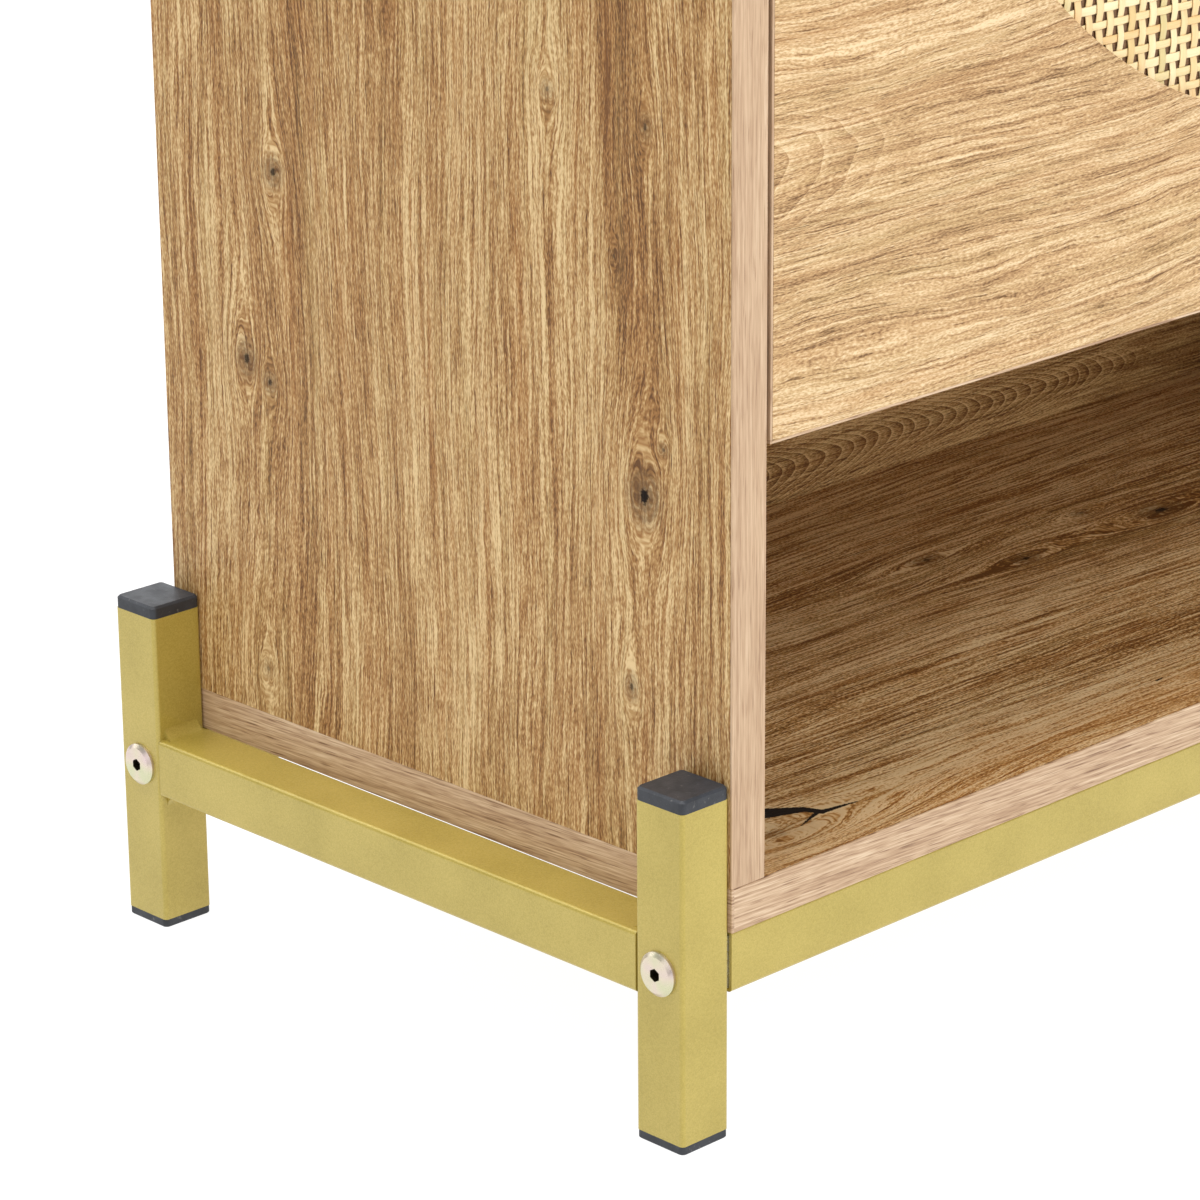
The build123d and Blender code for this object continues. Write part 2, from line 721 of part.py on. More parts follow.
    knob_z = base + knob_up
    with BuildPart() as knob:
        with BuildSketch(Plane(origin=(0, y0, knob_z), x_dir=(1, 0, 0), z_dir=(0, 0, 1))):
            with BuildLine():
                Line((0, 0), (knob_foot, 0))
                Line((knob_foot, 0), (knob_foot, -1.2))
                ThreePointArc((knob_foot, -1.2), (knob_waist, -6), (knob_face, -11))
                ThreePointArc((knob_face, -11), (11.6, -12.3), (knob_rim, -15))
                ThreePointArc((knob_rim, -15), (11.6, -18.6), (knob_face, -knob_reach))
                Line((knob_face, -knob_reach), (0, -knob_reach))
                Line((0, -knob_reach), (0, 0))
            make_face()
        revolve(axis=Axis((0, y0, knob_z), (0, 1, 0)))
        bore((0, y0, knob_z), (0, y0 - knob_screw_reach - 1, knob_z), knob_thread)
    write_part(knob, f"knob_{name}")

    with BuildPart() as knob_screw:
        head = (0, y0 + board + flat_head_thick, knob_z)
        rod(head, (0, y0 + board, knob_z), flat_head_radius)
        rod((0, y0 + board, knob_z), (0, y0 - knob_screw_reach, knob_z), knob_thread)
        cut_cross(head, (0, -1, 0), screw_cross)
    write_part(knob_screw, f"knob_screw_{name}")
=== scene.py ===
import json
from math import cos, pi, radians, sin, sqrt
from random import Random

import bpy
from mathutils import Matrix, Vector


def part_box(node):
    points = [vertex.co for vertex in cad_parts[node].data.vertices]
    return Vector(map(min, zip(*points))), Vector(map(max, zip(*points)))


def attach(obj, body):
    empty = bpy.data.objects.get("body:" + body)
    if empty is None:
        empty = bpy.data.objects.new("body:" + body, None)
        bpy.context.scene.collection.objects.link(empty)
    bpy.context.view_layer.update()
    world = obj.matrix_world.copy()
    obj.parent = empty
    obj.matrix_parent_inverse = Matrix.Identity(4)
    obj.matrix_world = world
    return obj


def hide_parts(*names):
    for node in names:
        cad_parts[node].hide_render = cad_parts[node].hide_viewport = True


# A tip-out shoe cabinet in oak-print board on a gold square-tube base, in metres, in the row frame:
# X along the width, Y from the fronts to the back, Z up, the floor at Z = 0.

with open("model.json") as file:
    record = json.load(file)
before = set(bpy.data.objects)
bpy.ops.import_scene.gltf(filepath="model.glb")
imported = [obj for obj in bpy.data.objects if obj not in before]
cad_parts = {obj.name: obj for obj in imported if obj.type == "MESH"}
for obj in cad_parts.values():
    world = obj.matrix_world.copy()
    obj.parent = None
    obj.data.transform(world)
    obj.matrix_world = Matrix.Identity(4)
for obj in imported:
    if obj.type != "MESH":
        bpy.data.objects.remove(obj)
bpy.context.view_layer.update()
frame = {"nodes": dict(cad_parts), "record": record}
record = frame["record"]
MM = 0.001

# ---------- camera ----------
LENS, SENSOR = 134.25, 36.0
YAW, PITCH, ROLL = radians(44.188), radians(19.246), radians(-0.456)
CAMERA_FROM_LEG = Vector((-0.9160, -0.9065, 0.6382))  # from the front-left leg's outer front bottom corner


def make_camera():
    leg_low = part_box("leg_front_left")[0]
    forward = Vector((sin(YAW) * cos(PITCH), cos(YAW) * cos(PITCH), -sin(PITCH)))
    level_right = Vector((cos(YAW), -sin(YAW), 0))
    level_up = level_right.cross(forward)
    right = level_right * cos(ROLL) + level_up * sin(ROLL)
    up = level_up * cos(ROLL) - level_right * sin(ROLL)
    camera = bpy.data.objects.new("camera", bpy.data.cameras.new("camera"))
    camera.data.lens, camera.data.sensor_width = LENS, SENSOR
    camera.matrix_world = Matrix((right, up, -forward)).transposed().to_4x4()
    camera.location = Vector((leg_low.x, leg_low.y, 0)) + CAMERA_FROM_LEG
    bpy.context.collection.objects.link(camera)
    bpy.context.scene.camera = camera


# ---------- studio ----------
AIM = Vector((0, 0, 0.4))  # the point that every softbox faces
GLOW_AS_LIGHT, GLOW_SEEN = 0.26, 1.0  # the world's strength
FLOOR_HALF = 30.0  # so wide that its edge shows in no view


def area_light(name, place, size, power):
    """A softbox facing AIM: place and size in metres, power in watts."""
    data = bpy.data.lights.new(name, "AREA")
    data.shape, data.size, data.size_y = "RECTANGLE", size[0], size[1]
    data.energy = power
    lamp = bpy.data.objects.new(name, data)
    lamp.location = place
    lamp.rotation_euler = (AIM - Vector(place)).to_track_quat("-Z", "Y").to_euler()
    bpy.context.collection.objects.link(lamp)


def make_studio():
    scene = bpy.context.scene
    scene.view_settings.view_transform = "Standard"
    world = bpy.data.worlds.new("studio")
    world.use_nodes = True
    glow = world.node_tree.nodes["Background"]
    glow.inputs["Color"].default_value = (1.0, 1.0, 1.0, 1.0)
    # white where it is seen directly, as the floor is, and dimmer as a light
    strength = world.node_tree.nodes.new("ShaderNodeMapRange")
    seen = world.node_tree.nodes.new("ShaderNodeLightPath").outputs["Is Camera Ray"]
    world.node_tree.links.new(seen, strength.inputs["Value"])
    strength.inputs["To Min"].default_value = GLOW_AS_LIGHT
    strength.inputs["To Max"].default_value = GLOW_SEEN
    world.node_tree.links.new(strength.outputs[0], glow.inputs["Strength"])
    scene.world = world
    area_light("softbox_key", (-0.1, -2.0, 1.95), (2.4, 1.4), 28)
    area_light("softbox_over", (-0.7, 0.4, 4.2), (3.2, 3.2), 190)
    area_light("softbox_left", (-2.6, -0.6, 1.3), (1.6, 2.0), 10)
    area_light("softbox_front", (0.5, -2.6, 0.75), (2.4, 1.4), 19)
    area_light("softbox_back", (0.2, 2.7, 1.9), (4.4, 2.4), 60)


def make_floor():
    mesh = bpy.data.meshes.new("floor")
    corners = [(x * FLOOR_HALF, y * FLOOR_HALF, 0) for x, y in ((-1, -1), (1, -1), (1, 1), (-1, 1))]
    mesh.from_pydata(corners, [], [(0, 1, 2, 3)])
    floor = bpy.data.objects.new("floor", mesh)
    bpy.context.collection.objects.link(floor)
    paint = Paint("floor_paint")
    paint.finish(srgb(110, 110, 110), 0.9, Emission_Color=srgb(255, 255, 255), Emission_Strength=0.95)
    mesh.materials.append(paint.material)


# ---------- node trees ----------
def srgb(red, green, blue):
    """A linear colour from sRGB bytes."""
    linear = [((c / 255 + 0.055) / 1.055) ** 2.4 if c > 10 else c / 255 / 12.92 for c in (red, green, blue)]
    return (*linear, 1.0)


class Paint:
    """A material's node tree. Each method adds a node and returns its output socket."""

    def __init__(self, name):
        self.material = bpy.data.materials.new(name)
        self.material.use_nodes = True
        self.tree = self.material.node_tree
        self.shader = self.tree.nodes["Principled BSDF"]

    def put(self, socket, value):
        if isinstance(value, bpy.types.NodeSocket):
            self.tree.links.new(value, socket)
        elif value is not None:
            socket.default_value = value

    def node(self, kind, **settings):
        made = self.tree.nodes.new("ShaderNode" + kind)
        for name, value in settings.items():
            setattr(made, name, value)
        return made

    def math(self, operation, a, b=None):
        made = self.node("Math", operation=operation)
        self.put(made.inputs[0], a)
        self.put(made.inputs[1], b)
        return made.outputs[0]

    def add(self, a, b):
        return self.math("ADD", a, b)

    def sub(self, a, b):
        return self.math("SUBTRACT", a, b)

    def mul(self, a, b):
        return self.math("MULTIPLY", a, b)

    def total(self, *values):
        out = values[0]
        for value in values[1:]:
            out = self.add(out, value)
        return out

    def coordinates(self, order="XYZ"):
        """Object coordinates, in the given order."""
        split = self.node("SeparateXYZ")
        self.put(split.inputs[0], self.node("TexCoord").outputs["Object"])
        return [split.outputs["XYZ".index(letter)] for letter in order]

    def vector(self, x, y, z):
        made = self.node("CombineXYZ")
        for socket, value in zip(made.inputs, (x, y, z)):
            self.put(socket, value)
        return made.outputs[0]

    def vector_math(self, operation, a, b=None, output=0):
        """Output 0 is the vector and output 1 the single value."""
        made = self.node("VectorMath", operation=operation)
        self.put(made.inputs[0], a)
        self.put(made.inputs["Scale" if operation == "SCALE" else 1], b)
        return made.outputs[output]

    def noise(self, vector, detail=2.0, roughness=0.5, distortion=0.0, scale=1.0):
        made = self.node("TexNoise")
        self.put(made.inputs["Vector"], vector)
        self.put(made.inputs["Scale"], scale)
        self.put(made.inputs["Detail"], detail)
        self.put(made.inputs["Roughness"], roughness)
        self.put(made.inputs["Distortion"], distortion)
        return made.outputs["Fac"]

    def streaks(self, u, v, w, wide, long, detail=2.0, seed=0.0):
        """Noise about 0, stretched along v: wide and long are its sizes in mm."""
        vector = self.vector(
            self.add(self.mul(u, 1 / (wide * MM)), seed),
            self.mul(v, 1 / (long * MM)),
            self.mul(w, 1 / (wide * MM)),
        )
        return self.sub(self.noise(vector, detail), 0.5)

    def cells(self, vector, scale):
        """A random colour for each cell of a Voronoi pattern."""
        made = self.node("TexVoronoi")
        self.put(made.inputs["Vector"], vector)
        self.put(made.inputs["Scale"], scale)
        return made.outputs["Color"]

    def remap(self, value, low, high, to_low=0.0, to_high=1.0, smooth=False):
        made = self.node("MapRange", interpolation_type="SMOOTHSTEP" if smooth else "LINEAR")
        for index, part in enumerate((value, low, high, to_low, to_high)):
            self.put(made.inputs[index], part)
        return made.outputs[0]

    def ramp(self, value, *stops):
        """stops are (place, colour) pairs."""
        made = self.node("ValToRGB")
        while len(made.color_ramp.elements) < len(stops):
            made.color_ramp.elements.new(1.0)
        for element, (place, color) in zip(made.color_ramp.elements, stops):
            element.position, element.color = place, color
        self.put(made.inputs[0], value)
        return made.outputs[0]

    def mix(self, share, a, b, blend="MIX"):
        made = self.node("Mix", data_type="RGBA", blend_type=blend)
        self.put(made.inputs[0], share)
        self.put(made.inputs[6], a)
        self.put(made.inputs[7], b)
        return made.outputs[2]

    def bump(self, height, distance, strength=1.0):
        """distance is the height's full rise in mm."""
        made = self.node("Bump")
        self.put(made.inputs["Height"], height)
        made.inputs["Distance"].default_value = distance * MM
        made.inputs["Strength"].default_value = strength
        return made.outputs[0]

    def finish(self, color, roughness=0.5, normal=None, **sockets):
        """Feeds the shader; sockets are its other inputs, with _ for spaces."""
        self.put(self.shader.inputs["Base Color"], color)
        self.put(self.shader.inputs["Roughness"], roughness)
        self.put(self.shader.inputs["Normal"], normal)
        for name, value in sockets.items():
            self.put(self.shader.inputs[name.replace("_", " ")], value)
        return self.material


# ---------- oak print ----------
# A palette's colours run from the darkest streak to the lightest.
BOARD_OAK = (srgb(100, 62, 24), srgb(156, 110, 58), srgb(184, 144, 90), srgb(226, 196, 144))
FRONT_OAK = (srgb(118, 84, 48), srgb(178, 139, 94), srgb(206, 169, 120), srgb(238, 210, 166))
FLOOR_OAK = (srgb(110, 68, 28), srgb(178, 130, 72), srgb(210, 168, 110), srgb(248, 222, 174))
BACK_OAK = (srgb(108, 70, 33), srgb(160, 119, 68), srgb(188, 147, 92), srgb(226, 192, 136))
KNOT_BROWN, KNOT_BLACK = srgb(98, 68, 32), srgb(28, 18, 9)
ORANGE, OLIVE = srgb(184, 122, 60), srgb(176, 156, 96)
# The print's streaks, finest first: breadth and length in mm, detail, seed, and share of the tone.
STREAKS = {
    "grain": (0.36, 1.7, 1.0, 0.0, 1.15),
    "fibres": (0.62, 21, 1.0, 2.3, 0.9),
    "threads": (1.1, 75, 2.0, 7.7, 0.95),
    "cords": (2.8, 170, 2.0, 9.1, 0.6),
    "bands": (12, 260, 2.0, 11.3, 0.5),
    "regions": (45, 420, 1.0, 17.9, 0.5),
}
MIDDLE_TONE = 0.57


def segment(p, place, crack):
    """How far each place is from a crack's centre line, less the crack's own half width there, in metres."""
    (u0, v0, half0), (u1, v1, half1) = crack
    run = Vector((u1 - u0, v1 - v0, 0))
    offset = p.vector_math("SUBTRACT", place, (u0, v0, 0))
    share = p.vector_math("DOT_PRODUCT", offset, run / run.length_squared, output=1)
    share = p.remap(share, 0.0, 1.0)
    nearest = p.vector_math("SCALE", tuple(run), share)
    gap = p.vector_math("LENGTH", p.vector_math("SUBTRACT", offset, nearest), output=1)
    return p.sub(gap, p.remap(share, 0.0, 1.0, half0 * MM, half1 * MM))


def knot_marks(p, place, ragged, field, knots):
    """The grain's field bent round the knots, and their core, halo and column, each from 0 to 1.

    A knot is (across, along, radius, stretch, darkness, column): places in metres, the core's radius and
    the height of the brown column above it in mm.
    """
    u, v = place
    core, halo, column_shade = 0.0, 0.0, 0.0
    for across, along, radius_mm, stretch, darkness, column in knots:
        radius = radius_mm * MM
        du, dv = p.sub(u, across), p.sub(v, along)
        # the grain parts and closes round the knot
        flow = (2.4 * radius) ** 2
        long_dv = p.mul(dv, 1 / (1.9 * stretch))
        square = p.add(p.mul(du, du), p.mul(long_dv, long_dv))
        pull = p.math("DIVIDE", 2.0 * flow, p.add(square, flow))
        field = p.sub(field, p.mul(du, pull))
        short_dv = p.mul(dv, 1 / stretch)
        away = p.math("SQRT", p.add(p.mul(du, du), p.mul(short_dv, short_dv)))
        away = p.add(away, p.mul(p.sub(ragged, 0.5), 1.1 * radius))
        here = p.mul(p.remap(away, radius, 0.45 * radius), darkness)
        circles = p.remap(p.math("SINE", p.mul(away, 6.6 / radius)), -1.0, 1.0, 0.55, 1.0)
        round_it = p.mul(p.remap(away, 3.9 * radius, 1.6 * radius, smooth=True), darkness)
        core = p.math("MAXIMUM", core, here)
        halo = p.math("MAXIMUM", halo, p.mul(round_it, circles))
        if column:
            spread = p.remap(dv, 0.0, column * MM, 2.0 * radius, 5.0 * radius)
            side = p.math("DIVIDE", p.math("ABSOLUTE", p.sub(du, p.mul(dv, 0.08))), spread)
            shade = p.mul(p.remap(side, 1.5, 0.5, smooth=True), p.remap(dv, -2 * radius, 3 * radius))
            column_shade = p.math("MAXIMUM", column_shade, shade)
    return field, core, halo, column_shade


def cathedral(p, place, field, arch, seed):
    """Nested arches, as a tone about 0.

    arch is their middle across, their tip along, their breadth and spacing in mm, and their strength.
    """
    middle, tip, breadth, spacing, strength = arch
    off = p.sub(field, middle)
    ring = p.add(p.sub(place[1], tip), p.mul(p.mul(off, off), 1 / (breadth * MM)))
    slow = p.streaks(*place, 22, 60, detail=2.0, seed=seed + 23.5)
    turn = p.math("FRACT", p.add(p.mul(ring, 1 / (spacing * MM)), p.mul(slow, 2.2)))
    light, dark = p.remap(turn, 0.3, 0.0, smooth=True), p.remap(turn, 0.5, 1.0)
    figure = p.add(p.mul(light, 0.7), p.mul(dark, -0.7))
    return p.mul(p.mul(figure, p.remap(ring, 0.04, 0.0)), strength)


def oak(
    name,
    axes,
    knots=(),
    cracks=(),
    palette=BOARD_OAK,
    seed=0.0,
    wave=30.0,
    arch=None,
    contrast=1.0,
    tinge=None,
):
    """Printed, embossed oak. axes is the order of coordinates across, along and through the board.

    Knots are as in knot_marks, and an arch as in cathedral. A crack is two (across, along, half width in
    mm) ends. wave is how far the grain wanders in mm, and tinge the pair of places across between which
    the board turns orange.
    """
    p = Paint(name)
    u, v, w = p.coordinates(axes)
    drift = p.streaks(u, v, w, 90, 320, detail=1.0, seed=seed + 3.1)
    wobble = p.streaks(u, v, w, 16, 75, detail=1.0, seed=seed + 5.3)
    ripple = p.streaks(u, v, w, 5, 9, detail=1.0, seed=seed + 6.1)
    field = p.total(u, p.mul(drift, wave * MM), p.mul(wobble, 0.16 * wave * MM), p.mul(ripple, 1.1 * MM))
    ragged = p.noise(p.vector(u, v, w), detail=3.0, roughness=0.65, scale=900.0)
    field, core, halo, column_shade = knot_marks(p, (u, v), ragged, field, knots)

    tone, layers = MIDDLE_TONE, {}
    for layer, (wide, long, detail, shift, share) in STREAKS.items():
        layers[layer] = p.streaks(field, v, w, wide, long, detail=detail, seed=seed + shift)
        tone = p.add(tone, p.mul(layers[layer], share * contrast))
    ridge = p.math("ABSOLUTE", p.streaks(field, v, w, 1.9, 130, detail=1.0, seed=seed + 21.1))
    lines = p.mul(p.remap(ridge, 0.028, 0.0), p.remap(layers["bands"], -0.12, 0.05, 0.2, 1.0))
    dashes = p.remap(p.streaks(field, v, w, 0.6, 12, detail=1.0, seed=seed + 29.9), 0.13, 0.20)
    tone = p.total(
        tone, p.mul(lines, -0.22 * contrast), p.mul(dashes, -0.24 * contrast), p.mul(column_shade, -0.24)
    )
    if arch:
        tone = p.add(tone, cathedral(p, (u, v, w), field, arch, seed))

    color = p.ramp(tone, (0.0, palette[0]), (0.36, palette[1]), (0.62, palette[2]), (1.0, palette[3]))
    hue = p.streaks(field, v, w, 6.0, 150, detail=2.0, seed=seed + 31.7)
    color = p.mix(p.remap(hue, 0.02, 0.22, 0.0, 0.35), color, p.mix(0.5, color, ORANGE))
    color = p.mix(p.remap(hue, -0.02, -0.22, 0.0, 0.35), color, p.mix(0.4, color, OLIVE))
    if tinge:
        front = p.remap(p.add(u, p.mul(drift, 0.05)), tinge[0], tinge[1], 0.0, 0.5)
        color = p.mix(front, color, p.mix(0.6, color, ORANGE))
    dark = 0.0
    if knots:
        color = p.mix(p.mul(halo, 0.75), color, KNOT_BROWN)
        dark = core
        for crack in cracks:
            gap = p.add(segment(p, p.vector(u, v, 0.0), crack), p.mul(p.sub(ragged, 0.5), 1.6 * MM))
            dark = p.math("MAXIMUM", dark, p.remap(gap, 0.25 * MM, -0.15 * MM))
        color = p.mix(dark, color, KNOT_BLACK)

    height = p.total(
        p.mul(layers["grain"], 0.7),
        p.mul(layers["fibres"], 0.7),
        p.mul(layers["threads"], 0.6),
        p.mul(lines, -0.25),
        p.mul(dashes, -0.5),
    )
    roughness = p.math("MAXIMUM", p.remap(tone, 0.2, 0.9, 0.52, 0.4), dark)
    return p.finish(color, roughness, p.bump(height, 0.3, 0.9), Specular_IOR_Level=0.3)


# Knots of the left panel: (Y, Z, radius, stretch, darkness, column).
PANEL_KNOTS = (
    (-0.0926, 0.208, 2.7, 1.35, 1.0, 230),
    (-0.0866, 0.143, 1.2, 1.5, 0.7, 0),
    (-0.1011, 0.225, 0.9, 1.0, 0.6, 0),
    (0.0995, 0.214, 2.0, 1.3, 0.85, 0),
    (0.0875, 0.208, 1.4, 1.2, 0.8, 0),
    (0.0825, 0.282, 1.8, 1.2, 0.85, 0),
    (0.0935, 0.103, 1.1, 1.2, 0.4, 0),
    (-0.0936, 0.326, 1.1, 1.5, 0.65, 0),
    (-0.0796, 0.283, 0.7, 1.3, 0.5, 0),
    (-0.0506, 0.331, 1.1, 1.2, 0.5, 0),
)
# Knots and the open crack of the bottom board: (Y, X, ...).
FLOOR_KNOTS = (
    (0.0415, -0.0145, 1.6, 1.9, 0.75, 0),
    (0.0155, 0.0135, 1.6, 1.9, 0.85, 0),
    (0.0165, 0.0965, 2.6, 2.0, 0.9, 0),
    (0.0365, 0.0715, 1.3, 1.8, 0.6, 0),
    (-0.1080, -0.2560, 5.0, 1.4, 0.25, 0),
)
FLOOR_CRACKS = (
    ((-0.0925, -0.2475, 4.4), (-0.1000, -0.2344, 2.2)),
    ((-0.1000, -0.2344, 2.0), (-0.1058, -0.2316, 1.7)),
    ((-0.1058, -0.2316, 1.4), (-0.1080, -0.2163, 0.2)),
    ((-0.1050, -0.2325, 1.0), (-0.1094, -0.2451, 0.2)),
    ((-0.1056, -0.0570, 0.5), (-0.1052, -0.0520, 0.1)),
)


# Cathedral figures of the front and the back sheet: (Z, X, breadth, spacing, strength).
FRONT_ARCH = (0.3170, -0.2470, 13.0, 17.0, 0.25)
BACK_ARCH = (0.1010, 0.2000, 3.6, 8.0, 0.6)


def moved(knots, along_by):
    """The same knots on another board: mirrored across it and moved along it."""
    return [(-across, along + along_by, *rest) for across, along, *rest in knots]


def edge_band(name, upright_from):
    """Pinkish printed strip. Its streaks run along each strip; upright strips lie past upright_from in X."""
    p = Paint(name)
    x, y, z = p.coordinates()
    low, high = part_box("side_panel_left")
    out = p.math("ABSOLUTE", x)
    upright = p.mul(p.math("GREATER_THAN", z, low.z), p.math("LESS_THAN", z, high.z))
    upright = p.mul(upright, p.math("GREATER_THAN", out, upright_from))
    end = p.mul(p.sub(1.0, upright), p.math("GREATER_THAN", out, -low.x - 1.1 * MM))
    front = p.sub(p.sub(1.0, upright), end)
    along = p.total(p.mul(x, front), p.mul(z, upright), p.mul(y, end))
    across = p.add(p.mul(p.add(z, p.mul(along, 0.035)), p.sub(1.0, upright)), p.mul(p.add(x, y), upright))
    lines = p.streaks(across, along, 0.0, 0.85, 45, detail=2.0)
    fine = p.streaks(across, along, 0.0, 0.35, 9, detail=2.0, seed=5.0)
    slow = p.streaks(across, along, 0.0, 5.0, 120, detail=1.0, seed=9.0)
    cuts = p.remap(p.streaks(across, along, 0.0, 0.5, 14, detail=1.0, seed=13.0), 0.1, 0.2)
    bold = p.remap(upright, 0.0, 1.0, 1.4, 0.8)
    print_tone = p.total(p.mul(lines, 1.1), p.mul(fine, 0.7), p.mul(slow, 0.4), p.mul(cuts, -0.3))
    tone = p.add(0.6, p.mul(bold, print_tone))
    color = p.ramp(
        tone,
        (0.0, srgb(128, 94, 66)),
        (0.4, srgb(180, 146, 114)),
        (0.7, srgb(204, 173, 140)),
        (1.0, srgb(224, 198, 166)),
    )
    return p.finish(color, 0.42, p.bump(p.sub(fine, cuts), 0.06, 0.6), Specular_IOR_Level=0.4)


# ---------- metals and plastics ----------
def gold_paint(name, base=(184, 164, 76)):
    """Metallic powder coat: fine flakes, a slight orange peel and a clear gloss."""
    p = Paint(name)
    x, y, z = p.coordinates()
    place = p.vector(x, y, z)
    flakes = p.cells(place, scale=2600.0)
    sparkle = p.node("SeparateColor")
    p.put(sparkle.inputs[0], flakes)
    cloud = p.noise(place, detail=2.0, scale=38.0)
    tone = p.total(p.mul(sparkle.outputs[0], 0.35), p.mul(cloud, 0.65))
    red, green, blue = base
    color = p.ramp(
        tone,
        (0.15, srgb(red - 16, green - 15, blue - 14)),
        (0.5, srgb(red, green, blue)),
        (0.85, srgb(red + 14, green + 13, blue + 14)),
    )
    peel = p.noise(place, detail=1.0, scale=900.0)
    rough = p.remap(sparkle.outputs[1], 0.0, 1.0, 0.34, 0.52)
    return p.finish(
        color, rough, p.bump(peel, 0.03, 0.5), Metallic=0.3, Coat_Weight=0.5, Coat_Roughness=0.14
    )


def zinc(name, dark, light):
    """Plated steel: soft patches of two tints and a fine grain."""
    p = Paint(name)
    x, y, z = p.coordinates()
    patches = p.noise(p.vector(x, y, z), detail=2.0, distortion=0.6, scale=160.0)
    fine = p.noise(p.vector(x, y, z), detail=3.0, scale=1800.0)
    color = p.ramp(p.remap(patches, 0.28, 0.72), (0.2, srgb(*dark)), (0.8, srgb(*light)))
    return p.finish(color, p.remap(fine, 0.3, 0.7, 0.22, 0.38), p.bump(fine, 0.02, 0.4), Metallic=1.0)


SOCKET_REACH = 2.45  # mm from the bolt's axis to the hex socket's corners
TURNING_PITCH = 0.35  # mm between the turning marks


def bolt_zinc():
    """Yellow zinc of the frame bolts: tints that change round each head, turning marks, and painted shade
    that darkens the hex socket.
    """
    p = Paint("yellow_zinc")
    x, y, z = p.coordinates()
    low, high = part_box("frame_bolts")
    front_leg, rear_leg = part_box("leg_front_left"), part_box("leg_rear_left")
    nearest = p.math(
        "MINIMUM",
        p.math("ABSOLUTE", p.sub(y, (front_leg[0].y + front_leg[1].y) / 2)),
        p.math("ABSOLUTE", p.sub(y, (rear_leg[0].y + rear_leg[1].y) / 2)),
    )
    rise = p.sub(z, (low.z + high.z) / 2)
    away = p.math("SQRT", p.add(p.mul(nearest, nearest), p.mul(rise, rise)))
    patches = p.noise(p.vector(x, y, z), detail=1.0, distortion=0.4, scale=110.0)
    angle = p.math("ARCTAN2", rise, nearest)
    color = p.ramp(
        p.add(p.remap(patches, 0.25, 0.75, 0.0, 0.6), p.mul(p.math("SINE", p.mul(angle, 2.0)), 0.2)),
        (0.0, srgb(206, 206, 172)),
        (0.35, srgb(218, 206, 186)),
        (0.7, srgb(216, 194, 196)),
        (1.0, srgb(196, 196, 204)),
    )
    # painted shade: inside the hex socket, below the head's face, the zinc is mixed towards a dark brown
    sunk = p.math("LESS_THAN", p.math("ABSOLUTE", x), high.x - 0.2 * MM)
    painted_socket_shade = p.mul(p.math("LESS_THAN", away, SOCKET_REACH * MM), sunk)
    color = p.mix(p.mul(painted_socket_shade, 0.9), color, srgb(58, 46, 24))
    marks = p.math("SINE", p.mul(away, 2 * pi / (TURNING_PITCH * MM)))
    fine = p.noise(p.vector(x, y, z), detail=2.0, scale=1800.0)
    height = p.add(p.mul(marks, 0.5), fine)
    return p.finish(color, p.remap(fine, 0.3, 0.7, 0.26, 0.4), p.bump(height, 0.008, 0.5), Metallic=0.9)


def plastic(name, base, speck=None, grain=0.05, mottle=0.04):
    """Moulded plastic: grain is its texture's height in mm, mottle its change of tone and speck its dust."""
    p = Paint(name)
    x, y, z = p.coordinates()
    place = p.vector(x, y, z)
    cloud = p.noise(place, detail=3.0, scale=180.0)
    dark, light = (srgb(*(part * (1 + sign * mottle) for part in base)) for sign in (-1, 1))
    color = p.ramp(cloud, (0.3, dark), (0.7, light))
    if speck:
        dust = p.remap(p.noise(place, detail=4.0, roughness=0.7, scale=420.0), 0.62, 0.76)
        color = p.mix(p.mul(dust, 0.6), color, srgb(*speck))
    texture = p.noise(place, detail=2.0, scale=1500.0)
    return p.finish(color, p.remap(cloud, 0.3, 0.7, 0.56, 0.44), p.bump(texture, grain, 0.6))


def plain_wood(name, axes, dark, light):
    """Fine, even wood without print: dowels and the thin backing board."""
    p = Paint(name)
    u, v, w = p.coordinates(axes)
    tone = p.add(0.5, p.add(p.streaks(u, v, w, 0.6, 9, seed=2.0), p.streaks(u, v, w, 4, 60, seed=4.0)))
    return p.finish(p.ramp(tone, (0.2, srgb(*dark)), (0.8, srgb(*light))), 0.7, p.bump(tone, 0.05, 0.5))


# ---------- cane webbing ----------
# Sizes in mm.
PITCH_MM = 5.5
WEFT_WIDE, WARP_WIDE = 2.95, 3.55
STRAND_THICK = 0.36
STEPS_PER_PITCH = 4
CROWN = 0.62  # how far a strand's outline stands out in front, in strand thicknesses
SECTION = ((-1.0, 0.0), (-0.8, -0.5), (0.0, -CROWN), (0.8, -0.5), (1.0, 0.0), (0.0, 0.4))
REBATE_GROW = 5.8  # how far the webbing goes past the window's outline
REBATE_CORNER = 11.8  # its corners' radius


